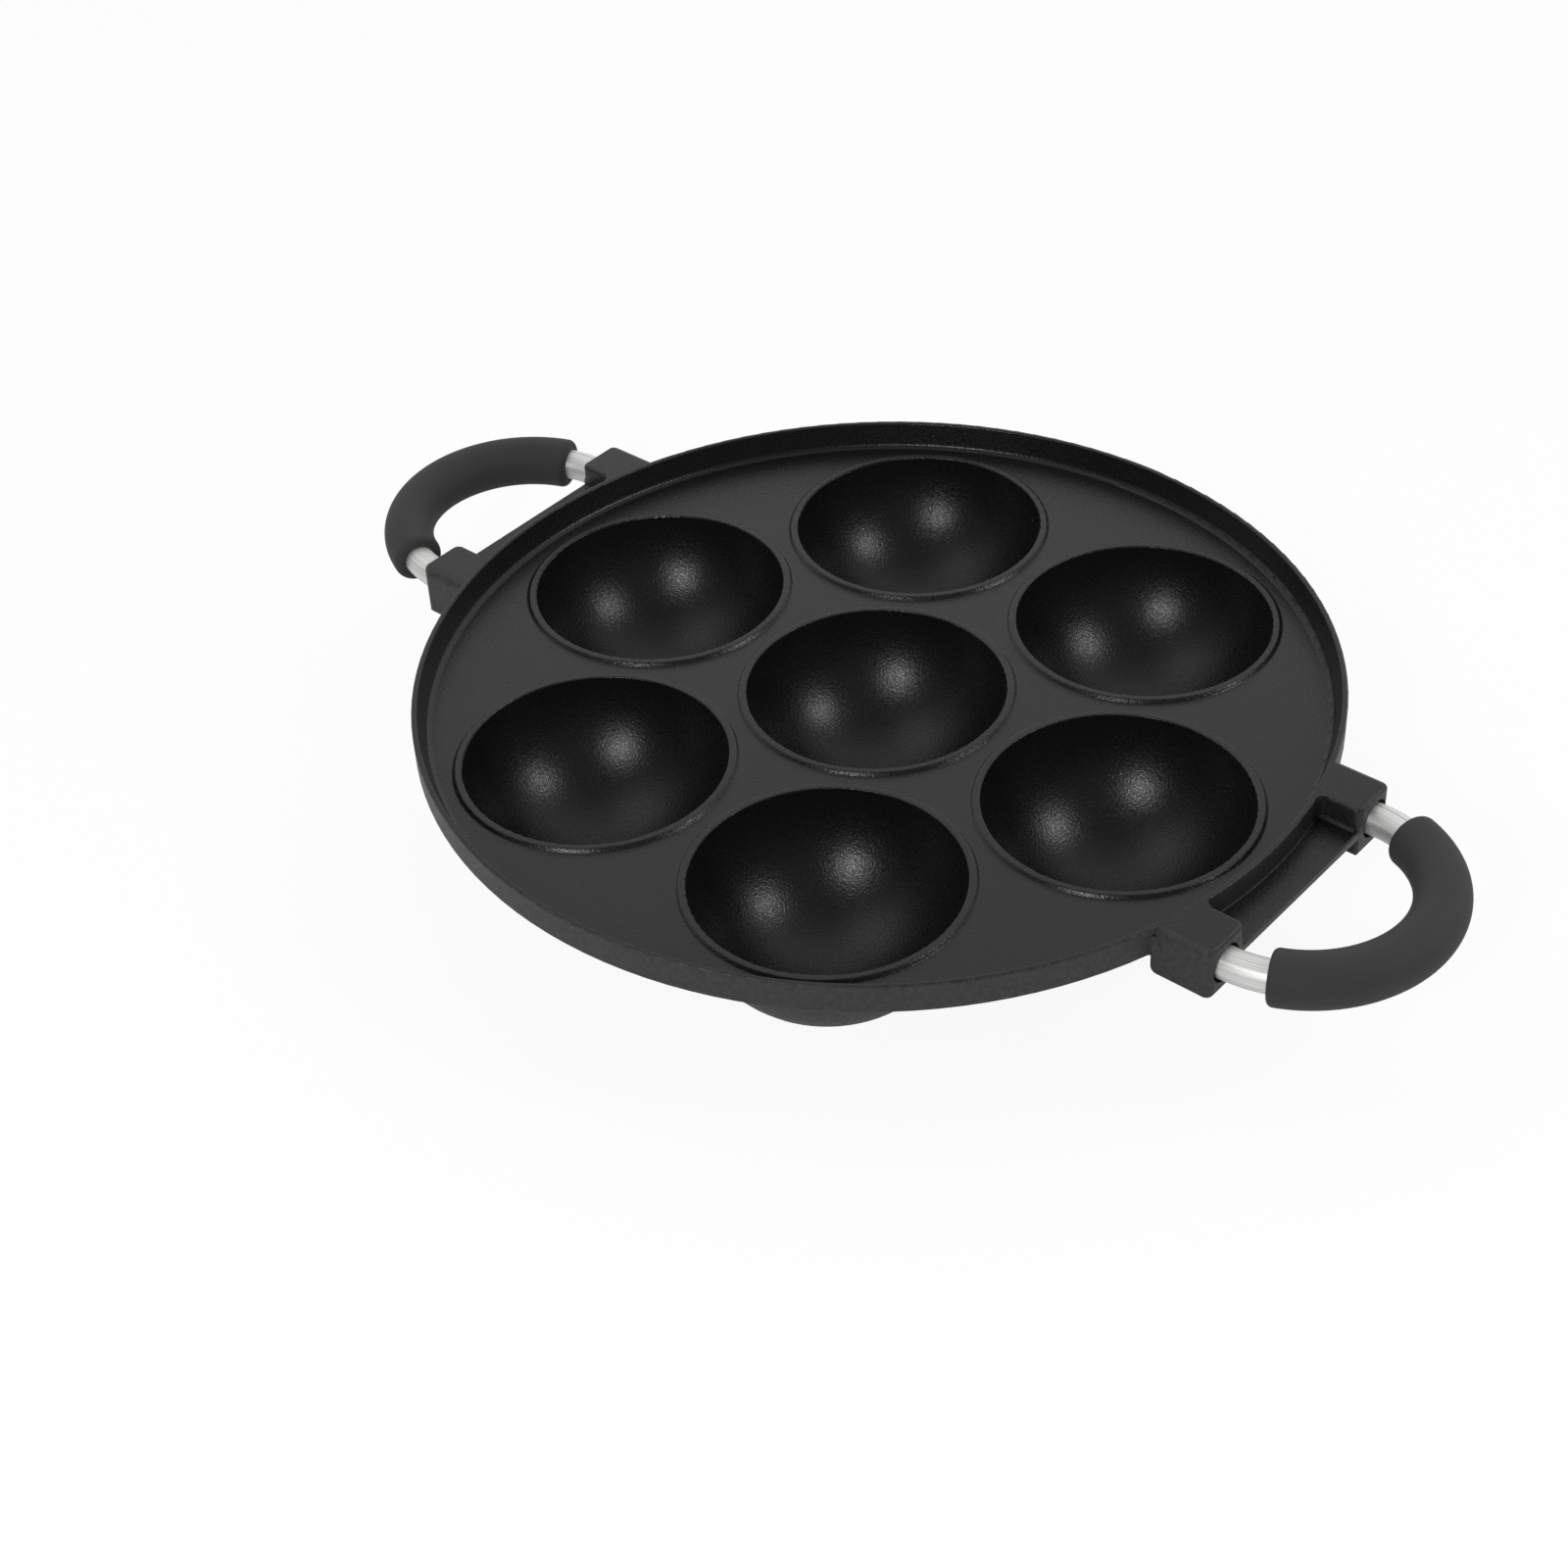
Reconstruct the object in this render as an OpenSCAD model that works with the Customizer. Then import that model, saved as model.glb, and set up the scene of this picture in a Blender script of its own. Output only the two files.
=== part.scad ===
// Aebleskiver pan: one round casting with seven dished wells, and a bent tube handle
// with a soft sleeve on each side. The pan stands on seven small feet in the plane z = 0,
// its centre on the Z axis, its handles on the X axis.

/* [Pan] */
// Height of the rim above the lips of the wells
rim_rise = 5.75; // [4:0.25:9]
// How far the outer band reaches below the lips
band_drop = 1.95; // [1.4:0.05:3]
// Width of the flat top of the rim
rim_t = 1.4; // [1.2:0.1:2.4]
// Slope of the rim's inner face away from upright, in degrees
rim_draft = 15; // [4:1:20]
// Width of the ledge under the band
ledge_w = 4.5; // [3.5:0.1:6]
// Thickness of the floor between the wells
floor_t = 2.8; // [2.2:0.1:4]
// Radius of the fillet between the floor and the rim
tray_fillet = 1.6; // [0.8:0.1:2]
// Radius of the small edge rounding on the casting
edge_r = 0.5; // [0.3:0.1:0.6]

/* [Wells] */
// Diameter of a well at its lip. The whole pan grows with it
well_d = 65; // [56:0.5:74]
// How much less deep a well is than half its width
well_short = 1.5; // [1:0.5:7.5]
// Number of wells round the middle one
well_count = 6; // [3:1:6]
// Width of the floor between the lips of two wells
well_gap = 4.75; // [3.6:0.05:8]
// Width of the floor between the outer lips and the rim's inner face
edge_gap = 4.69; // [2.5:0.01:12]
// Thickness of the bowl under each well
bowl_wall = 2.7; // [2.2:0.1:3.2]
// Width of the flat top of the lip round each well
lip_w = 1.7; // [1.2:0.1:2]
// Height of the lip above the floor
lip_h = 1; // [0.7:0.1:1.4]
// Slope of a lip's outer side away from upright, in degrees
lip_draft = 40; // [10:5:50]
// Radius of the fillet between a lip and the floor
lip_fillet = 0.5; // [0.3:0.1:0.8]
// Radius of the rounding at the mouth of a well
mouth_r = 0.4; // [0.2:0.05:0.6]
// Radius of the blend between a bowl and the underside
bowl_fillet = 1.6; // [0.8:0.1:1.8]
// Diameter of the flat foot under each bowl
foot_d = 22; // [16:1:28]
// How far a foot stands below its bowl
foot_drop = 0.3; // [0.2:0.1:1]

/* [Lugs] */
// Width of each lug that holds a handle end
lug_w = 13.7; // [12.5:0.1:15]
// How far a lug's middle lies inside the axis of its bore
lug_shift = 0.35; // [0:0.05:0.6]
// How far a lug reaches below the lips
lug_drop = 7.8; // [7.4:0.1:9]
// How far the lugs stand out past the rim
lug_reach = 8.5; // [7.5:0.5:11]
// Radius of a lug's outer front corner, seen from above
lug_corner = 2.5; // [1.5:0.1:3]
// Radius along the outer top edge of a lug
lug_round = 2.2; // [1:0.1:2.6]
// Radius of the lower back corner of a lug, seen from its side
lug_heel = 3; // [1:0.5:4]
// Radius of a lug's other corners and top edges
lug_ease = 1; // [0.6:0.1:1.4]
// How far the back of a lug runs in under the band
lug_bite = 1.2; // [0.8:0.1:2]
// Metal left between a bore's end and the tray
bore_back = 2; // [1.5:0.1:3]
// Gap all round a handle tube in its bore
bore_gap = 0.9; // [0.5:0.1:1.1]

/* [Web] */
// Thickness of the web between two lugs
web_t = 2.5; // [2:0.1:3.5]
// Depth of the web's top below the lips
web_drop = 0.6; // [0.2:0.1:1.2]
// Radius of the fillet between the web and the band
web_fillet = 0.3; // [0.2:0.1:2]
// Radius of the fillets between the web and the lugs
lug_fillet = 1; // [0.5:0.1:1.5]
// Radius of the upright fillets between the band and the lugs
band_fillet = 1.6; // [1:0.1:2.5]

/* [Handles] */
// Bend radius of a handle, which is also half the distance between its bores
bend_r = 31; // [29:0.5:33]
// Outer diameter of the handle tube
tube_d = 8; // [6.5:0.1:8.4]
// Wall of the handle tube
tube_wall = 1.2; // [0.8:0.1:1.6]
// Upward tilt of a handle, in degrees
handle_tilt = 2; // [0:0.5:3]
// Gap between a tube end and the bottom of its bore
tube_end_gap = 0.5; // [0.3:0.1:1]
// Outer diameter of the soft grip
grip_d = 13.3; // [11.5:0.1:15]
// Half the bend that the grip covers, in degrees
grip_angle = 71; // [50:1:74]
// Radius of the rounding at the grip's ends
grip_round = 1.6; // [0.8:0.1:1.8]
// Gap between the grip and the tube
grip_gap = 0.1; // [0.05:0.05:0.3]

/* [Pins] */
// Diameter of the pin that holds each tube end
pin_d = 3; // [2:0.1:3.6]
// Gap all round a pin in its hole
pin_gap = 0.05; // [0.05:0.05:0.15]
// How far a pin's head end sits inside the lug's underside
pin_recess = 0.3; // [0.2:0.1:0.6]
// Chamfer on both ends of a pin
pin_chamfer = 0.4; // [0.2:0.1:0.5]

/* [Hidden] */
$fn = 96;
// Overlap between solids that are joined, and the run of a cut past its face
eps = 0.2;
RIGHT = 1;
LEFT = -1;

// Wells, spaced by their lips and the floor between them
well_r = well_d / 2;
well_depth = well_r - well_short;
well_pitch = well_d + 2 * lip_w + well_gap;

// Heights above the feet
lip_z = foot_drop + bowl_wall + well_depth;
rim_z = lip_z + rim_rise;
floor_z = lip_z - lip_h;
slab_z = floor_z - floor_t;
band_z = lip_z - band_drop;
lug_z = lip_z - lug_drop;
web_z = lip_z - web_drop - web_t;
bore_z = (rim_z + lug_z) / 2;

// The wells are caps of a sphere, and their bowls caps of a larger one on the same centre
well_sphere = (well_r * well_r + well_depth * well_depth) / (2 * well_depth);
bowl_sphere = well_sphere + bowl_wall;
sphere_z = lip_z - well_depth + well_sphere;

// Tray round the wells, and the rim round the tray
tray_foot_r = well_pitch + well_r + lip_w + edge_gap;
tray_top_r = tray_foot_r + (rim_z - floor_z) * tan(rim_draft);
rim_r = tray_top_r + rim_t;
slab_r = rim_r - ledge_w;

// Lugs, bores and the handle tubes that enter them
lug_in_y = bend_r - lug_shift - lug_w / 2;
lug_out_y = lug_in_y + lug_w;
lug_x = rim_r + lug_reach;
lug_back_x = sqrt(pow(rim_r, 2) - pow(lug_out_y, 2)) - lug_bite;
bore_r = tube_d / 2 + bore_gap;
bore_end_x = sqrt(pow(tray_top_r, 2) - pow(bend_r - bore_r, 2)) + bore_back;
tube_leg = lug_x - bore_end_x - tube_end_gap;
pin_x = lug_x - tube_leg / 2;
pin_low_z = lug_z + pin_recess;
pin_high_z = bore_z + tube_d / 2 + bore_gap / 2;
web_back_x = sqrt(pow(slab_r, 2) - pow(bend_r, 2)) - lug_bite;

function polar(r, a) = [r * cos(a), r * sin(a)];

// Sliver of the corner at p between edges that leave it at angles a and b, outside the arc
// of radius r. Taken from a shape it rounds an edge, added to one it fills an inner corner.
module corner(p, a, b, r) {
    half = (b - a) / 2;
    reach = r / tan(half);
    mid = p + polar(r / sin(half), a + half);
    difference() {
        polygon([p, p + polar(reach, a), mid, p + polar(reach, b)]);
        translate(mid) circle(r);
    }
}

// Lug with its back at x = 0 and its inner side at y = 0: what its outlines seen from above,
// from the front and from the side have in common
module lug(size) {
    intersection() {
        linear_extrude(size[2]) difference() {
            square([size[0], size[1]]);
            corner([0, 0], 0, 90, lug_ease);
            corner([size[0], 0], 90, 180, lug_ease);
            corner([size[0], size[1]], 180, 270, lug_corner);
            corner([0, size[1]], 270, 360, lug_ease);
        }
        rotate([90, 0, 90]) linear_extrude(size[0]) difference() {
            square([size[1], size[2]]);
            corner([0, 0], 0, 90, edge_r);
            corner([size[1], 0], 90, 180, edge_r);
            corner([size[1], size[2]], 180, 270, lug_round);
            corner([0, size[2]], 270, 360, lug_ease);
        }
        translate([0, size[1], 0])
            rotate([90, 0, 0]) linear_extrude(size[1]) difference() {
                square([size[0], size[2]]);
                corner([0, 0], 0, 90, lug_heel);
                corner([size[0], 0], 90, 180, edge_r);
                corner([size[0], size[2]], 180, 270, lug_ease);
            }
    }
}

// Half section of the rim, the band and the floor, before the tray is cut
module slab_section() {
    difference() {
        union() {
            translate([0, slab_z]) square([slab_r, floor_t]);
            translate([slab_r - eps, band_z]) square([ledge_w + eps, rim_z - band_z]);
            translate([slab_r - eps, floor_z - eps]) square([eps, rim_z - floor_z]);
        }
        corner([slab_r, slab_z], 90, 180, edge_r);
        corner([rim_r, band_z], 90, 180, edge_r);
        corner([rim_r, rim_z], 180, 270, edge_r);
    }
    corner([slab_r, band_z], 270, 360, edge_r);
}

// Half section of the space inside the rim
module tray_section() {
    difference() {
        polygon([[0, floor_z], [tray_foot_r, floor_z], [tray_top_r, rim_z],
                 [tray_top_r + edge_r, rim_z + edge_r], [0, rim_z + edge_r]]);
        corner([tray_foot_r, floor_z], 90 - rim_draft, 180, tray_fillet);
    }
    corner([tray_top_r, rim_z], 270 - rim_draft, 360, edge_r);
}

// Half section of the raised lip round a well, its outer side sloped down to the floor
module lip_section() {
    foot_r = well_r + lip_w + lip_h * tan(lip_draft);
    reach = lip_fillet / tan(45 + lip_draft / 2);
    difference() {
        polygon([[well_r - lip_w, floor_z - eps], [foot_r + reach, floor_z - eps],
                 [foot_r + reach, floor_z], [foot_r, floor_z],
                 [well_r + lip_w, lip_z], [well_r - lip_w, lip_z]]);
        corner([well_r + lip_w, lip_z], 180, 270 + lip_draft, edge_r);
    }
    corner([foot_r, floor_z], 0, 90 + lip_draft, lip_fillet);
}

// Half section of what the rounding takes off at the mouth of a well
module mouth_section() {
    mid_z = lip_z - mouth_r;
    mid_r = sqrt(pow(well_sphere + mouth_r, 2) - pow(sphere_z - mid_z, 2));
    touch = well_sphere / (well_sphere + mouth_r);
    touch_z = sphere_z + (mid_z - sphere_z) * touch;
    difference() {
        polygon([[mid_r * touch - lip_w, touch_z], [mid_r * touch, touch_z], [mid_r, mid_z],
                 [mid_r, lip_z + eps], [mid_r * touch - lip_w, lip_z + eps]]);
        translate([mid_r, mid_z]) circle(mouth_r);
    }
}

// Half section of the blend between a bowl and the underside of the floor
module bowl_blend_section() {
    mid_z = slab_z - bowl_fillet;
    mid_r = sqrt(pow(bowl_sphere + bowl_fillet, 2) - pow(sphere_z - mid_z, 2));
    touch = bowl_sphere / (bowl_sphere + bowl_fillet);
    difference() {
        polygon([[mid_r * touch - bowl_wall / 2, slab_z + eps], [mid_r, slab_z + eps],
                 [mid_r, mid_z], [mid_r * touch, sphere_z + (mid_z - sphere_z) * touch],
                 [mid_r * touch - bowl_wall / 2, mid_z]]);
        translate([mid_r, mid_z]) circle(bowl_fillet);
    }
}

// Repeats its children at the middle well and round it
module at_wells() {
    children();
    for (i = [0 : well_count - 1])
        rotate(i * 360 / well_count) translate([well_pitch, 0, 0]) children();
}

// Repeats its children at the four handle bores, in the frame of a bore that runs along +X
module at_bores() {
    for (side = [0, 180], y = [-bend_r, bend_r])
        rotate(side) translate([lug_x, y, bore_z]) rotate([0, -handle_tilt, 0]) children();
}

// Bowl below one well, with its lip above, its blend below and its flat foot
module bowl() {
    difference() {
        translate([0, 0, sphere_z]) sphere(bowl_sphere);
        translate([0, 0, floor_z - floor_t / 2]) cylinder(r = 2 * bowl_sphere, h = 2 * bowl_sphere);
    }
    rotate_extrude() lip_section();
    rotate_extrude() bowl_blend_section();
    cylinder(d = foot_d, h = sphere_z - sqrt(pow(bowl_sphere, 2) - pow(foot_d / 2, 2)) + eps);
}

// The two lugs on the +X side, and the web that joins them
module lug_pair() {
    web();
    for (m = [0, 1])
        mirror([0, m, 0]) {
            translate([lug_back_x, lug_in_y, lug_z])
                lug([lug_x - lug_back_x, lug_w, rim_z - lug_z]);
            translate([lug_back_x, 0, 0])
                rotate([90, 0, 90]) linear_extrude(lug_x - lug_ease - lug_back_x)
                    corner([lug_in_y, web_z + web_t], 90, 180, lug_fillet);
            band_blend(lug_in_y, -1, web_z + eps, rim_z);
            band_blend(lug_out_y, 1, band_z, rim_z - lug_round);
        }
}

// Web low between the lugs, from the middle of one to the middle of the other, flush with
// their outer faces and run into the edge of the floor, with a fillet along the band
module web() {
    run_x = lug_x - web_back_x;
    translate([web_back_x, bend_r, web_z])
        rotate([90, 0, 0]) linear_extrude(2 * bend_r) difference() {
            square([run_x, web_t]);
            corner([run_x, 0], 90, 180, edge_r);
            corner([run_x, web_t], 180, 270, edge_r);
        }
    intersection() {
        rotate_extrude() union() {
            corner([rim_r, web_z + web_t], 0, 90, web_fillet);
            translate([rim_r - web_fillet, web_z + eps]) square([web_fillet, web_t]);
        }
        translate([web_back_x, -bend_r, web_z]) cube([run_x, 2 * bend_r, rim_z - web_z]);
    }
}

// Upright fillet between the band and the side of a lug at side_y, on the lug's inner side
// (way = -1) or its outer side (way = 1)
module band_blend(side_y, way, low_z, high_z) {
    mid_y = side_y + way * band_fillet;
    mid_x = sqrt(pow(rim_r + band_fillet, 2) - pow(mid_y, 2));
    inner = (rim_r - rim_t / 2) / (rim_r + band_fillet);
    deep_y = side_y - way * (edge_r + eps);
    translate([0, 0, low_z]) linear_extrude(high_z - low_z) difference() {
        polygon([[mid_x, deep_y], [mid_x, mid_y], [mid_x * inner, mid_y * inner],
                 [mid_x * inner - rim_t / 2, deep_y]]);
        translate([mid_x, mid_y]) circle(band_fillet);
    }
}

// The casting: tray, wells, bowls, lugs and webs in one piece
module pan_body() {
    color("dimgray") difference() {
        union() {
            rotate_extrude() slab_section();
            for (side = [0, 180]) rotate(side) lug_pair();
        }
        rotate_extrude() tray_section();
        at_wells() translate([0, 0, sphere_z]) sphere(well_sphere);
        at_bores() translate([-lug_x + bore_end_x, 0, 0])
            rotate([0, 90, 0]) cylinder(r = bore_r, h = lug_x - bore_end_x + lug_reach);
        pin_set(pin_gap, pin_recess + eps);
    }
    color("dimgray") difference() {
        at_wells() bowl();
        at_wells() union() {
            translate([0, 0, sphere_z]) sphere(well_sphere);
            rotate_extrude() mouth_section();
        }
    }
}

// Bent tube: a half turn with a straight leg on each end, flat in the handle's own plane
module tube_solid(r) {
    rotate([0, 0, -90]) rotate_extrude(angle = 180) translate([bend_r, 0]) circle(r);
    for (y = [-bend_r, bend_r])
        translate([-tube_leg, y, 0]) rotate([0, 90, 0]) cylinder(r = r, h = tube_leg);
}

// Puts a handle piece on the right or the left side of the pan
module on_side(side) {
    rotate(side == RIGHT ? 0 : 180) translate([lug_x, 0, bore_z])
        rotate([0, -handle_tilt, 0]) children();
}

module handle_tube(side) {
    color("gainsboro") difference() {
        on_side(side) difference() {
            tube_solid(tube_d / 2);
            tube_solid(tube_d / 2 - tube_wall);
        }
        pin_set(pin_gap, 0);
    }
}

// Soft sleeve on the bend, its two ends rounded
module handle_grip(side) {
    straight = grip_round;
    turn = grip_angle - atan(straight / bend_r);
    color("slategray") on_side(side) {
        rotate(-turn) rotate_extrude(angle = 2 * turn) translate([bend_r, 0]) grip_ring();
        for (m = [0, 1])
            mirror([0, m, 0]) rotate(turn) translate([bend_r, 0, 0]) rotate([-90, 0, 0])
                rotate_extrude() grip_end_section(straight);
    }
}

// Cross section of the sleeve
module grip_ring() {
    difference() {
        circle(d = grip_d);
        circle(r = tube_d / 2 + grip_gap);
    }
}

// Half section of a sleeve end
module grip_end_section(length) {
    inner = tube_d / 2 + grip_gap;
    difference() {
        translate([inner, 0]) square([grip_d / 2 - inner, length]);
        corner([grip_d / 2, length], 180, 270, grip_round);
    }
}

// The four pins, or with a gap and an extra run below them the holes for them
module pin_set(gap, extra) {
    cut = gap > 0;
    for (side = [0, 180], y = [-bend_r, bend_r])
        rotate(side) translate([pin_x, y, pin_low_z - extra])
            rotate_extrude() difference() {
                square([pin_d / 2 + gap, pin_high_z - pin_low_z + extra + gap]);
                if (!cut) {
                    corner_chamfer([pin_d / 2, 0], [-pin_chamfer, pin_chamfer]);
                    corner_chamfer([pin_d / 2, pin_high_z - pin_low_z], [-pin_chamfer, -pin_chamfer]);
                }
            }
}

// Triangle that takes the corner at p off by the two legs in v
module corner_chamfer(p, v) {
    polygon([p, p + [v[0], 0], p + [0, v[1]]]);
}

module handle_pins() {
    color("silver") pin_set(0, 0);
}

pan_body();
handle_tube(RIGHT);  // handle_tube_right
handle_tube(LEFT);  // handle_tube_left
handle_grip(RIGHT);  // handle_grip_right
handle_grip(LEFT);  // handle_grip_left
handle_pins();
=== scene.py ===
"""Looks for an aebleskiver pan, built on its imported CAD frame.

The pan is a dark coated casting with seven wells. On each side it carries a bent satin tube
with a silicone sleeve. It stands on z = 0 in a white studio, its handles along X. Lengths are
in metres."""

import math

import bmesh
import bpy
from mathutils import Matrix, Vector


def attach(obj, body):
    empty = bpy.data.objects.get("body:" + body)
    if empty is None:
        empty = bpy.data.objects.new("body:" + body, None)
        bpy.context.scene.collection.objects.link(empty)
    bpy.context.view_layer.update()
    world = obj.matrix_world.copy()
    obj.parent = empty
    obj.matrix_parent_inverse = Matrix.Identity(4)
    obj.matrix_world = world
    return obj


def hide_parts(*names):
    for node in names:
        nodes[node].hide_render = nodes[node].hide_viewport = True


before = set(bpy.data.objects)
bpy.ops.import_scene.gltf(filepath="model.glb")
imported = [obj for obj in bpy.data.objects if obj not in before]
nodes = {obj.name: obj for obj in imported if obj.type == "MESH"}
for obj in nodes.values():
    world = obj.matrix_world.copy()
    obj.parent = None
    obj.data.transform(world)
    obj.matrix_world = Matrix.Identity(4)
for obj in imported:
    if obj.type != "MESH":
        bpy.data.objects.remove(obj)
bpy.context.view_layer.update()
scene = bpy.context.scene

# The rim's radius and height
RIM_R = 0.11525
RIM_Z = 0.03975

# The lugs' front, their inner and outer sides, and the top of the fillet that joins the web
LUG_X = 0.12375
LUG_IN_Y = 0.0238
LUG_OUT_Y = 0.0375
WEB_BLEND_Z = 0.0344

# Radii of the lugs' upright front corners, of their long outer top edge and of other edges
OUTER_CORNER_R = 0.0025
INNER_CORNER_R = 0.0021
LONG_EDGE_R = 0.0022
EDGE_R = 0.001

# The handles' bend, and the height and tilt of the bores that hold them
BEND_R = 0.031
BORE_Z = 0.032975
HANDLE_TILT = math.radians(2)

# Noise gives values from 0 to 1, but nearly all of them lie between these two
NOISE_LOW, NOISE_HIGH = 0.3, 0.7


def linear(code):
    """Linear colour of an sRGB hex code."""
    def channel(start):
        value = int(code[start:start + 2], 16) / 255
        return value / 12.92 if value <= 0.04045 else ((value + 0.055) / 1.055) ** 2.4
    return (channel(0), channel(2), channel(4), 1.0)


def per_mm(size):
    """Pattern scale at which one feature is about this many millimetres across."""
    return 1000.0 / size


def add(tree, kind, inputs=None, **settings):
    """Adds a node: its own settings, then its sockets, each given a value or linked."""
    made = tree.nodes.new(kind)
    for name, value in settings.items():
        setattr(made, name, value)
    for socket, value in (inputs or {}).items():
        if isinstance(value, bpy.types.NodeSocket):
            tree.links.new(value, made.inputs[socket])
        else:
            made.inputs[socket].default_value = value
    return made


def new_material(name):
    """Empty node material with its output, ready for a surface."""
    material = bpy.data.materials.new(name)
    material.use_nodes = True
    material.node_tree.nodes.clear()
    output = add(material.node_tree, "ShaderNodeOutputMaterial")
    return material, material.node_tree, output


def cover(node_name, material):
    """Puts one material on every slot of a CAD node."""
    mesh = nodes[node_name].data
    if not mesh.materials:
        mesh.materials.append(material)
    for index in range(len(mesh.materials)):
        mesh.materials[index] = material


# Cast aluminium under a sprayed satin non-stick coating: nearly black where it is smooth, with
# a fine grain that breaks each highlight into grey specks. The outside of the casting is left
# rougher under the same coating, so it shows paler and slightly mottled. The sprayed grain is
# about 0.3 mm, too fine to show, so it is drawn at twice that
GRAIN_MM = 0.6
CLOUD_MM = 14
MOTTLE_MM = 1.2
GRAIN_HEIGHT = 0.0001
MOTTLE_HEIGHT = 0.00005
# Where the rough skin starts and is full, out from the axis, its share in the troughs between
# the lugs (cut to half there as painted shade that darkens the troughs' walls), and how much
# duller it is
SKIN_START = RIM_R - 0.0006
SKIN_FULL = RIM_R - 0.0002
TROUGH_SKIN_PAINTED_SHADE = 0.5
SKIN_DULLNESS = 0.2


def coated_casting():
    """Smooth coating inside, rough skin outside, one grain over both."""
    material, tree, output = new_material("satin_nonstick_on_cast_aluminium")
    place = add(tree, "ShaderNodeTexCoord").outputs["Object"]
    grain = add(tree, "ShaderNodeTexNoise", {
        "Vector": place, "Scale": per_mm(GRAIN_MM), "Detail": 2.0, "Roughness": 0.6})
    cloud = add(tree, "ShaderNodeTexNoise", {
        "Vector": place, "Scale": per_mm(CLOUD_MM), "Detail": 3.0, "Roughness": 0.55})
    mottle = add(tree, "ShaderNodeTexNoise", {
        "Vector": place, "Scale": per_mm(MOTTLE_MM), "Detail": 3.0, "Roughness": 0.65})

    # Skin: all that faces down, and what stands upright past the rim
    facing = add(tree, "ShaderNodeSeparateXYZ", {
        0: add(tree, "ShaderNodeNewGeometry").outputs["Normal"]})
    below = add(tree, "ShaderNodeMapRange", {
        "Value": facing.outputs["Z"], "From Min": -0.02, "From Max": -0.1,
        "To Min": 0.0, "To Max": 1.0})
    upright = add(tree, "ShaderNodeMapRange", {
        "Value": facing.outputs["Z"], "From Min": 0.998, "From Max": 0.95,
        "To Min": 0.0, "To Max": 1.0})
    flat = add(tree, "ShaderNodeVectorMath", {0: place, 1: (1.0, 1.0, 0.0)},
               operation="MULTIPLY")
    reach = add(tree, "ShaderNodeVectorMath", {0: flat.outputs["Vector"]}, operation="LENGTH")
    beyond_rim = add(tree, "ShaderNodeMapRange", {
        "Value": reach.outputs["Value"], "From Min": SKIN_START, "From Max": SKIN_FULL,
        "To Min": 0.0, "To Max": 1.0})
    # Between the lugs the skin's share drops to half. This is partly the smoother satin coating
    # there and partly painted shade, so the troughs' walls are drawn darker and glossier
    part = add(tree, "ShaderNodeSeparateXYZ", {0: place})
    across = add(tree, "ShaderNodeMath", {0: part.outputs["Y"]}, operation="ABSOLUTE")
    trough_painted_shade = add(tree, "ShaderNodeMapRange", {
        "Value": across.outputs["Value"], "From Min": LUG_IN_Y + 0.0001,
        "From Max": LUG_IN_Y + 0.0012, "To Min": TROUGH_SKIN_PAINTED_SHADE, "To Max": 1.0})
    clear = add(tree, "ShaderNodeMath", {
        0: beyond_rim.outputs["Result"], 1: trough_painted_shade.outputs["Result"]},
        operation="MULTIPLY")
    outside = add(tree, "ShaderNodeMath", {
        0: clear.outputs["Value"], 1: upright.outputs["Result"]}, operation="MULTIPLY")
    skin = add(tree, "ShaderNodeMath", {
        0: below.outputs["Result"], 1: outside.outputs["Value"]}, operation="MAXIMUM")

    smooth_colour = add(tree, "ShaderNodeMix", {
        "Factor": cloud.outputs["Fac"], 6: linear("0f0f0f"), 7: linear("131314")},
        data_type="RGBA")
    mottle_share = add(tree, "ShaderNodeMapRange", {
        "Value": mottle.outputs["Fac"], "From Min": 0.35, "From Max": 0.65,
        "To Min": 0.0, "To Max": 1.0})
    rough_colour = add(tree, "ShaderNodeMix", {
        "Factor": mottle_share.outputs["Result"], 6: linear("262626"), 7: linear("353535")},
        data_type="RGBA")
    colour = add(tree, "ShaderNodeMix", {
        "Factor": skin.outputs["Value"], 6: smooth_colour.outputs[2],
        7: rough_colour.outputs[2]}, data_type="RGBA")
    gloss = add(tree, "ShaderNodeMapRange", {
        "Value": grain.outputs["Fac"], "From Min": NOISE_LOW, "From Max": NOISE_HIGH,
        "To Min": 0.17, "To Max": 0.4})
    rough = add(tree, "ShaderNodeMath", {
        0: skin.outputs["Value"], 1: SKIN_DULLNESS, 2: gloss.outputs["Result"]},
        operation="MULTIPLY_ADD")
    ripple_height = add(tree, "ShaderNodeMath", {
        0: mottle.outputs["Fac"], 1: skin.outputs["Value"]}, operation="MULTIPLY")

    fine = add(tree, "ShaderNodeBump", {
        "Height": grain.outputs["Fac"], "Strength": 1.0, "Distance": GRAIN_HEIGHT})
    surface = add(tree, "ShaderNodeBump", {
        "Height": ripple_height.outputs["Value"], "Strength": 1.0, "Distance": MOTTLE_HEIGHT,
        "Normal": fine.outputs["Normal"]})
    shader = add(tree, "ShaderNodeBsdfPrincipled", {
        "Base Color": colour.outputs[2], "Roughness": rough.outputs["Value"],
        "IOR": 1.38, "Normal": surface.outputs["Normal"]})
    tree.links.new(shader.outputs["BSDF"], output.inputs["Surface"])
    return material


# Stainless tube, brushed along its length: soft long streaks that run round the bend with it,
# and a broad dull shine. On the tube's 4 mm radius, seven to a radian are 0.6 mm wide. The real
# scratches are finer, too fine to show
STREAKS_PER_RADIAN = 7.0
STREAK_HEIGHT = 0.000008


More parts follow.
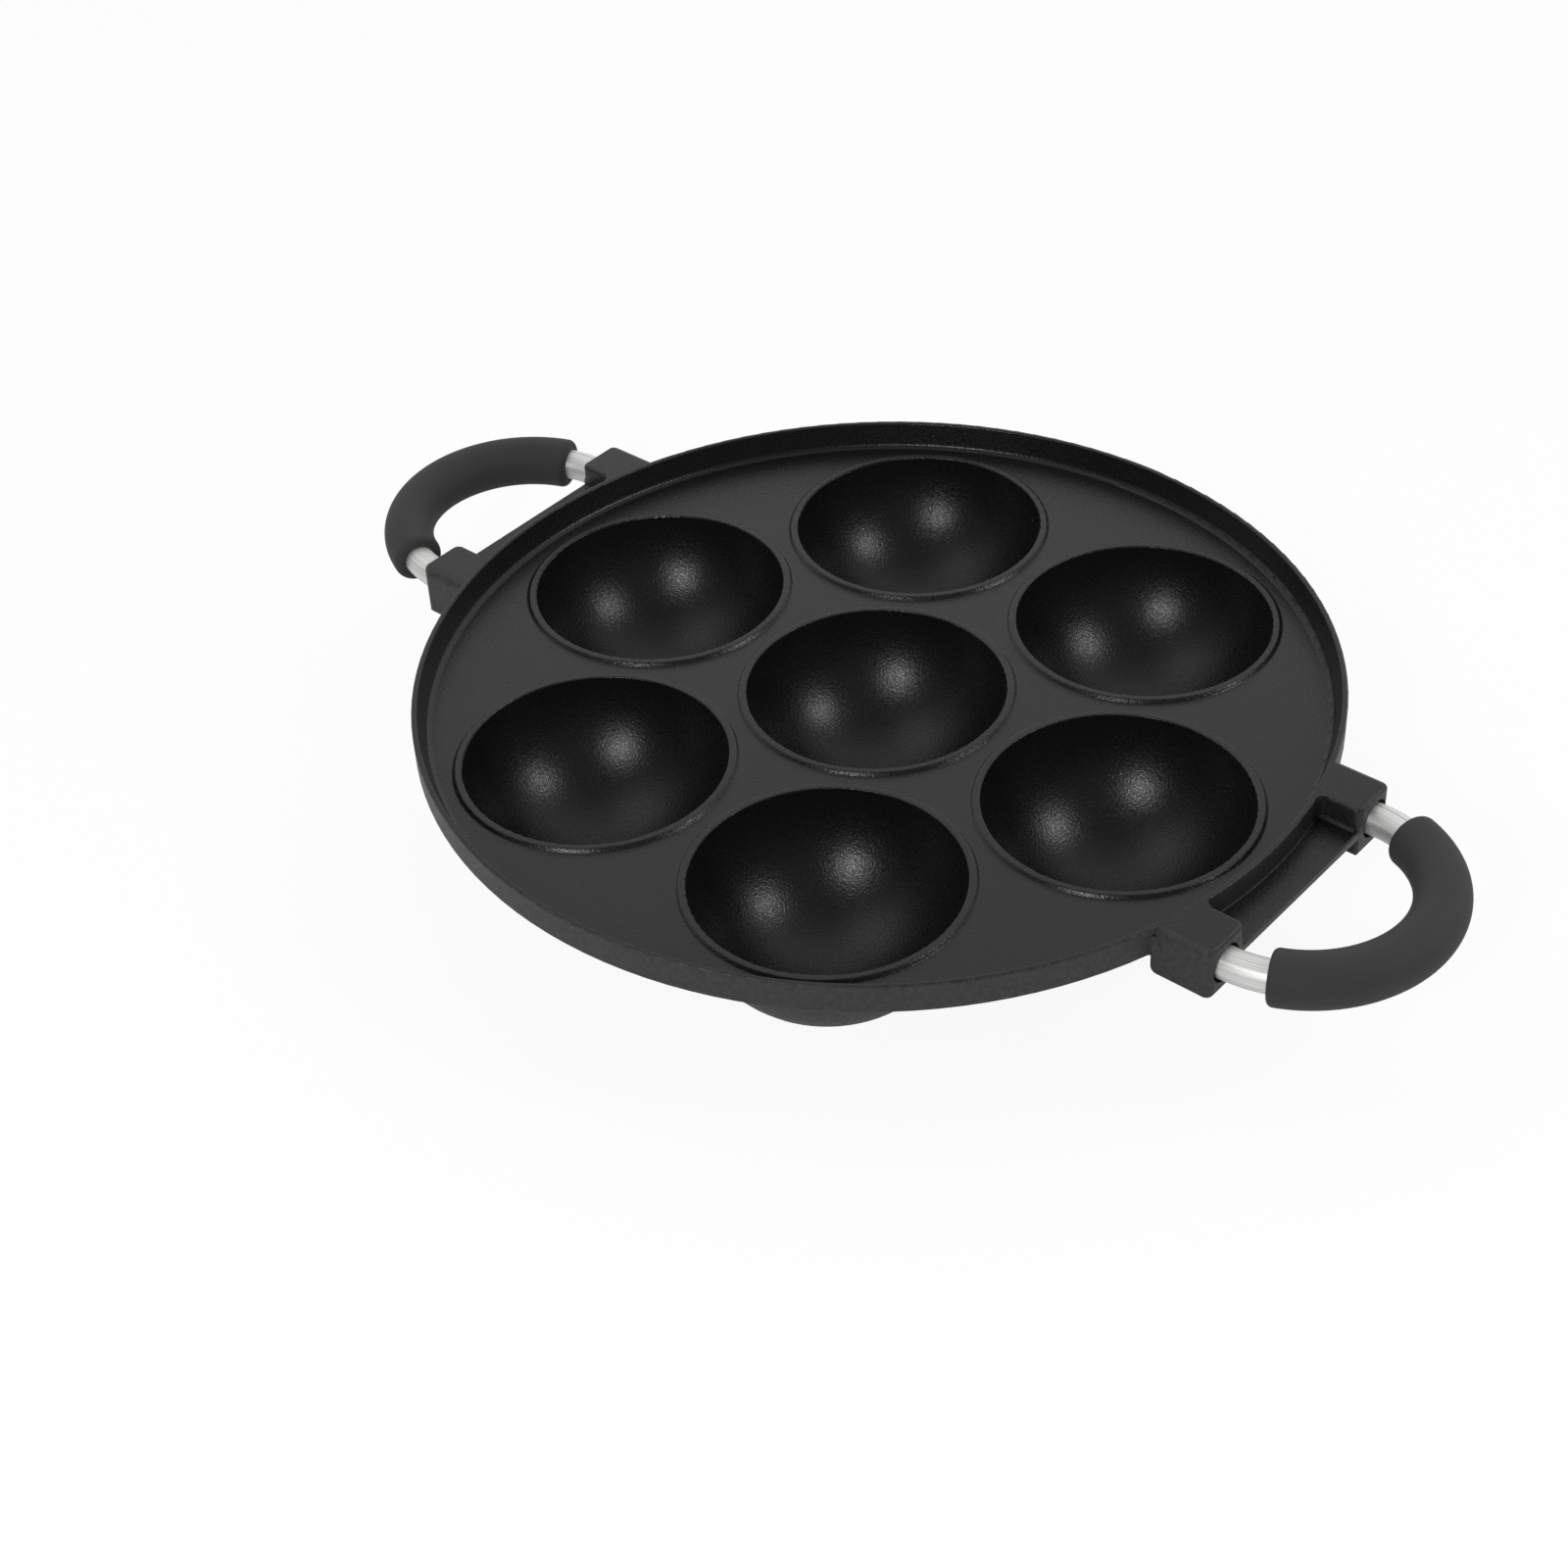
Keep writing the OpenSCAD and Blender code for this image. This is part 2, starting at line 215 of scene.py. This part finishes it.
def brushed_tube():
    """Streaks that follow the tube, from the angle round it and the place along it."""
    material, tree, output = new_material("brushed_stainless_tube")
    place = add(tree, "ShaderNodeTexCoord").outputs["Object"]
    part = add(tree, "ShaderNodeSeparateXYZ", {0: place})
    side = add(tree, "ShaderNodeMath", {0: part.outputs["X"]}, operation="ABSOLUTE")
    along = add(tree, "ShaderNodeMath", {0: side.outputs["Value"], 1: LUG_X},
                operation="SUBTRACT")
    drop = add(tree, "ShaderNodeMath", {
        0: along.outputs["Value"], 1: -math.tan(HANDLE_TILT), 2: -BORE_Z},
        operation="MULTIPLY_ADD")
    height = add(tree, "ShaderNodeMath", {
        0: part.outputs["Z"], 1: drop.outputs["Value"]}, operation="ADD")
    past_legs = add(tree, "ShaderNodeMath", {0: along.outputs["Value"], 1: 0.0},
                    operation="MAXIMUM")
    bend = add(tree, "ShaderNodeCombineXYZ", {
        "X": past_legs.outputs["Value"], "Y": part.outputs["Y"], "Z": 0.0})
    swing = add(tree, "ShaderNodeVectorMath", {0: bend.outputs["Vector"]}, operation="LENGTH")
    outward = add(tree, "ShaderNodeMath", {0: swing.outputs["Value"], 1: BEND_R},
                  operation="SUBTRACT")
    turn = add(tree, "ShaderNodeMath", {
        0: height.outputs["Value"], 1: outward.outputs["Value"]}, operation="ARCTAN2")
    # Round the tube by its angle, along it by the raw place, which changes slowly there
    streak_place = add(tree, "ShaderNodeCombineXYZ", {
        "X": turn.outputs["Value"], "Y": along.outputs["Value"], "Z": part.outputs["Y"]})
    streaks = add(tree, "ShaderNodeTexNoise", {
        "Vector": streak_place.outputs["Vector"], "Scale": STREAKS_PER_RADIAN,
        "Detail": 3.0, "Roughness": 0.65})
    share = add(tree, "ShaderNodeMapRange", {
        "Value": streaks.outputs["Fac"], "From Min": NOISE_LOW, "From Max": NOISE_HIGH,
        "To Min": 0.0, "To Max": 1.0})
    colour = add(tree, "ShaderNodeMix", {
        "Factor": share.outputs["Result"], 6: linear("bcbcba"), 7: linear("efefed")},
        data_type="RGBA")
    rough = add(tree, "ShaderNodeMapRange", {
        "Value": streaks.outputs["Fac"], "From Min": NOISE_LOW, "From Max": NOISE_HIGH,
        "To Min": 0.5, "To Max": 0.58})
    relief = add(tree, "ShaderNodeBump", {
        "Height": streaks.outputs["Fac"], "Strength": 1.0, "Distance": STREAK_HEIGHT})
    shader = add(tree, "ShaderNodeBsdfPrincipled", {
        "Base Color": colour.outputs[2], "Metallic": 1.0,
        "Roughness": rough.outputs["Result"], "Normal": relief.outputs["Normal"]})
    tree.links.new(shader.outputs["BSDF"], output.inputs["Surface"])
    return material


# Moulded silicone: dark grey, dull and slightly dusty, with a very fine tooth from the mould.
# The real tooth is under 0.1 mm, too fine to show, so it is drawn at 0.5 mm
TOOTH_MM = 0.5
DUST_MM = 9
TOOTH_HEIGHT = 0.00001


def sleeve_silicone():
    """Dull rubber with a fine tooth and a faint cloud of dust."""
    material, tree, output = new_material("moulded_silicone")
    place = add(tree, "ShaderNodeTexCoord").outputs["Object"]
    tooth = add(tree, "ShaderNodeTexNoise", {
        "Vector": place, "Scale": per_mm(TOOTH_MM), "Detail": 2.0, "Roughness": 0.6})
    dust = add(tree, "ShaderNodeTexNoise", {
        "Vector": place, "Scale": per_mm(DUST_MM), "Detail": 2.0, "Roughness": 0.5})
    colour = add(tree, "ShaderNodeMix", {
        "Factor": dust.outputs["Fac"], 6: linear("2c2c2c"), 7: linear("323232")},
        data_type="RGBA")
    relief = add(tree, "ShaderNodeBump", {
        "Height": tooth.outputs["Fac"], "Strength": 1.0, "Distance": TOOTH_HEIGHT})
    shader = add(tree, "ShaderNodeBsdfPrincipled", {
        "Base Color": colour.outputs[2], "Roughness": 0.72, "IOR": 1.41,
        "Normal": relief.outputs["Normal"]})
    tree.links.new(shader.outputs["BSDF"], output.inputs["Surface"])
    return material


# Turned steel pins: plain grey metal, its shine slightly uneven from the tool. The tool's marks
# are under 0.2 mm, too fine to show, so they are drawn at 0.6 mm
TOOL_MARK_MM = 0.6


def pin_steel():
    """Plain grey steel with uneven shine."""
    material, tree, output = new_material("turned_steel_pin")
    place = add(tree, "ShaderNodeTexCoord").outputs["Object"]
    marks = add(tree, "ShaderNodeTexNoise", {
        "Vector": place, "Scale": per_mm(TOOL_MARK_MM), "Detail": 2.0, "Roughness": 0.6})
    rough = add(tree, "ShaderNodeMapRange", {
        "Value": marks.outputs["Fac"], "From Min": NOISE_LOW, "From Max": NOISE_HIGH,
        "To Min": 0.25, "To Max": 0.4})
    shader = add(tree, "ShaderNodeBsdfPrincipled", {
        "Base Color": linear("c8c8c6"), "Metallic": 1.0, "Roughness": rough.outputs["Result"]})
    tree.links.new(shader.outputs["BSDF"], output.inputs["Surface"])
    return material


# How finely a corner is cut, how near two points count as one, and how much of the full
# radius counts as past it. Over INNER_FADE the inner corner's radius grows from the web up
CORNER_CUTS = 12
SAME_POINT = 1e-7
SLACK = 1e-6
PAST = 0.995
INNER_FADE = 0.0015


def cut_faces(work, faces, point, normal):
    """Cuts faces along a plane and returns what they have become."""
    whole = set(faces)
    for face in faces:
        whole.update(face.edges)
        whole.update(face.verts)
    cut = bmesh.ops.bisect_plane(
        work, geom=list(whole), dist=SAME_POINT, plane_co=point, plane_no=normal)
    return [part for part in cut["geom"] if isinstance(part, bmesh.types.BMFace)]


def smooth_step(value):
    """Runs smoothly from 0 to 1 as the value does."""
    value = min(1.0, max(0.0, value))
    return value * value * (3 - 2 * value)


def round_lug_corner(work, kept_normal, side_x, side_y, outer):
    """Rounds a lug's front corner as on a cast lug: upright by its own radius, and with the
    rounded top edge run on round it."""
    edge_y, way = (LUG_OUT_Y, 1) if outer else (LUG_IN_Y, -1)
    low_z = RIM_Z - 1.1 * LONG_EDGE_R if outer else WEB_BLEND_Z
    full_r = OUTER_CORNER_R if outer else INNER_CORNER_R
    side_edge_r = LONG_EDGE_R if outer else EDGE_R

    def from_corner(vert):
        return LUG_X - vert.co.x * side_x, (edge_y - vert.co.y * side_y) * way

    def at_corner(face):
        inward = [from_corner(vert) for vert in face.verts]
        return (min(x for x, y in inward) < full_r - SLACK
                and -full_r < min(y for x, y in inward) < full_r - SLACK
                and max(vert.co.z for vert in face.verts) > low_z + SLACK)

    faces = [face for face in work.faces if at_corner(face)]
    for step in range(CORNER_CUTS):
        part = step / CORNER_CUTS
        inward = full_r * (1 - part)
        for point, normal in (
                ((side_x * (LUG_X - inward), 0.0, 0.0), (1.0, 0.0, 0.0)),
                ((0.0, side_y * (edge_y - way * inward), 0.0), (0.0, 1.0, 0.0)),
                ((0.0, 0.0, low_z + (RIM_Z - low_z) * part), (0.0, 0.0, 1.0))):
            faces = [face for face in cut_faces(work, faces, point, normal) if at_corner(face)]

    for vert in {vert for face in faces for vert in face.verts}:
        if vert.co.z < low_z - SLACK:
            continue
        corner_r = full_r
        if not outer:
            risen = smooth_step((vert.co.z - low_z) / INNER_FADE)
            corner_r = EDGE_R + (full_r - EDGE_R) * risen
        out_x, out_y = (corner_r - inward for inward in from_corner(vert))
        reach = math.hypot(out_x, out_y)
        if min(out_x, out_y) < -SLACK or reach < SLACK:
            continue
        share_x, share_y = out_x / reach, out_y / reach
        turn = smooth_step(math.atan2(out_y, out_x) / math.radians(90))
        edge_r = EDGE_R + (side_edge_r - EDGE_R) * turn
        over, up = reach - (corner_r - edge_r), vert.co.z - (RIM_Z - edge_r)
        if over < -SLACK:
            continue
        if up < 0:
            if reach < corner_r * PAST:
                continue
            lean_out, lean_z, height = 1.0, 0.0, vert.co.z
        else:
            far = math.hypot(over, up)
            if far < edge_r * PAST:
                continue
            lean_out, lean_z = over / far, up / far
            height = RIM_Z - edge_r + edge_r * lean_z
        out = corner_r - edge_r + edge_r * lean_out
        vert.co = (side_x * (LUG_X - corner_r + out * share_x),
                   side_y * (edge_y - way * (corner_r - out * share_y)), height)
        for loop in vert.link_loops:
            loop[kept_normal] = (side_x * lean_out * share_x,
                                 side_y * way * lean_out * share_y, lean_z)
    bmesh.ops.triangulate(work, faces=faces)


def rounded_casting(material):
    """The casting once more, with its lugs' front corners rounded like a cast lug's. It keeps
    the CAD mesh's own normals."""
    mesh = nodes["pan_body"].data.copy()
    normals = [0.0] * (3 * len(mesh.loops))
    mesh.corner_normals.foreach_get("vector", normals)
    mesh.attributes.new("kept_normal", "FLOAT_VECTOR", "CORNER").data.foreach_set(
        "vector", normals)
    work = bmesh.new()
    work.from_mesh(mesh)
    bmesh.ops.remove_doubles(work, verts=work.verts, dist=SAME_POINT)
    kept_normal = work.loops.layers.float_vector["kept_normal"]
    for side_x in (-1, 1):
        for side_y in (-1, 1):
            for outer in (False, True):
                round_lug_corner(work, kept_normal, side_x, side_y, outer)
    work.to_mesh(mesh)
    work.free()
    normals = [0.0] * (3 * len(mesh.loops))
    mesh.attributes["kept_normal"].data.foreach_get("vector", normals)
    mesh.attributes.remove(mesh.attributes["kept_normal"])
    mesh.normals_split_custom_set([normals[start:start + 3]
                                   for start in range(0, len(normals), 3)])
    mesh.materials.clear()
    mesh.materials.append(material)
    casting = bpy.data.objects.new("pan_casting", mesh)
    scene.collection.objects.link(casting)
    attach(casting, "root")
    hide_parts("pan_body")


rounded_casting(coated_casting())
tube_finish = brushed_tube()
sleeve_finish = sleeve_silicone()
for side in ("right", "left"):
    cover("handle_tube_" + side, tube_finish)
    cover("handle_grip_" + side, sleeve_finish)
cover("handle_pins", pin_steel())


def heading(azimuth, elevation):
    """Unit vector at an azimuth from +X and an elevation, in degrees."""
    turn, rise = math.radians(azimuth), math.radians(elevation)
    return Vector((math.cos(turn) * math.cos(rise), math.sin(turn) * math.cos(rise),
                   math.sin(rise)))


# The camera's place, the way it looks, its turn about that line and its lens in millimetres,
# all fitted to the wells and the rim
EYE = Vector((0.35597, -0.42497, 0.45387))
SIGHT = Vector((-0.52430, 0.57267, -0.63020)).normalized()
ROLL = math.radians(3.348)
LENS = 64.0


def photo_camera():
    """Camera at EYE that looks along SIGHT, turned by ROLL about its own axis."""
    data = bpy.data.cameras.new("camera")
    data.sensor_fit = "HORIZONTAL"
    data.sensor_width = 36.0
    data.lens = LENS
    data.clip_start = 0.01
    camera = bpy.data.objects.new("camera", data)
    scene.collection.objects.link(camera)
    level = SIGHT.to_track_quat("-Z", "Y").to_matrix().to_4x4()
    camera.matrix_world = Matrix.Translation(EYE) @ level @ Matrix.Rotation(-ROLL, 4, "Z")
    scene.camera = camera


photo_camera()

# Studio: a white floor, a bright room behind the pan and a dim one before it, three soft lamps.
# Two make the pair of highlights in each well, and a broad weak one the haze beside them
BACK_OF_ROOM = (-0.675, 0.738, 0.0)
DIM_ROOM = 0.25
FLOOR_HALF = 4.0
SEEN_GLOW = 0.92
MIRRORED_GLOW = 0.2
LAMP_DISTANCE = 1.2
PAN_MIDDLE = Vector((0.0, 0.0, 0.03))


def studio_floor():
    """Wide white floor. The camera sees it nearly white, with the pan's soft shadow on it."""
    mesh = bpy.data.meshes.new("studio_floor")
    work = bmesh.new()
    bmesh.ops.create_grid(work, x_segments=1, y_segments=1, size=FLOOR_HALF)
    work.to_mesh(mesh)
    work.free()
    floor = bpy.data.objects.new("studio_floor", mesh)
    scene.collection.objects.link(floor)
    material, tree, output = new_material("white_studio_card")
    ray = add(tree, "ShaderNodeLightPath")
    mirrored = add(tree, "ShaderNodeMath", {
        0: ray.outputs["Is Glossy Ray"], 1: MIRRORED_GLOW}, operation="MULTIPLY")
    share = add(tree, "ShaderNodeMath", {
        0: ray.outputs["Is Camera Ray"], 1: SEEN_GLOW, 2: mirrored.outputs["Value"]},
        operation="MULTIPLY_ADD")
    card = add(tree, "ShaderNodeBsdfDiffuse", {"Color": linear("f8f8f8")})
    glow = add(tree, "ShaderNodeEmission", {"Color": linear("ffffff"), "Strength": 1.0})
    mix = add(tree, "ShaderNodeMixShader", {
        "Fac": share.outputs["Value"], 1: card.outputs["BSDF"], 2: glow.outputs["Emission"]})
    tree.links.new(mix.outputs["Shader"], output.inputs["Surface"])
    mesh.materials.append(material)


def studio_world():
    """Room light: white to the camera, and round the pan brighter behind it than before it."""
    world = bpy.data.worlds.new("studio")
    world.use_nodes = True
    tree = world.node_tree
    tree.nodes.clear()
    toward = add(tree, "ShaderNodeTexCoord").outputs["Generated"]
    back = add(tree, "ShaderNodeVectorMath", {0: toward, 1: BACK_OF_ROOM},
               operation="DOT_PRODUCT")
    level = add(tree, "ShaderNodeMapRange", {
        "Value": back.outputs["Value"], "From Min": -0.35, "From Max": 0.45,
        "To Min": DIM_ROOM, "To Max": 1.0}, interpolation_type="SMOOTHSTEP")
    ray = add(tree, "ShaderNodeLightPath")
    strength = add(tree, "ShaderNodeMix", {
        0: ray.outputs["Is Camera Ray"], 2: level.outputs["Result"], 3: 1.0},
        data_type="FLOAT")
    room = add(tree, "ShaderNodeBackground", {
        "Color": linear("ffffff"), "Strength": strength.outputs[0]})
    output = add(tree, "ShaderNodeOutputWorld")
    tree.links.new(room.outputs["Background"], output.inputs["Surface"])
    scene.world = world


def soft_lamp(name, azimuth, elevation, size, power):
    """Round lamp of that width and power, which faces the pan's middle from that direction."""
    data = bpy.data.lights.new(name, "AREA")
    data.shape = "DISK"
    data.size = size
    data.energy = power
    lamp = bpy.data.objects.new(name, data)
    scene.collection.objects.link(lamp)
    toward = heading(azimuth, elevation)
    lamp.matrix_world = toward.to_track_quat("Z", "Y").to_matrix().to_4x4()
    lamp.location = PAN_MIDDLE + toward * LAMP_DISTANCE


studio_floor()
studio_world()
soft_lamp("lamp_left_of_camera", -74, 32, 0.20, 4.8)
soft_lamp("lamp_right_side", 26.4, 37.6, 0.26, 3.4)
soft_lamp("lamp_far_left", -142, 58, 0.75, 0.8)

scene.view_settings.view_transform = "Standard"
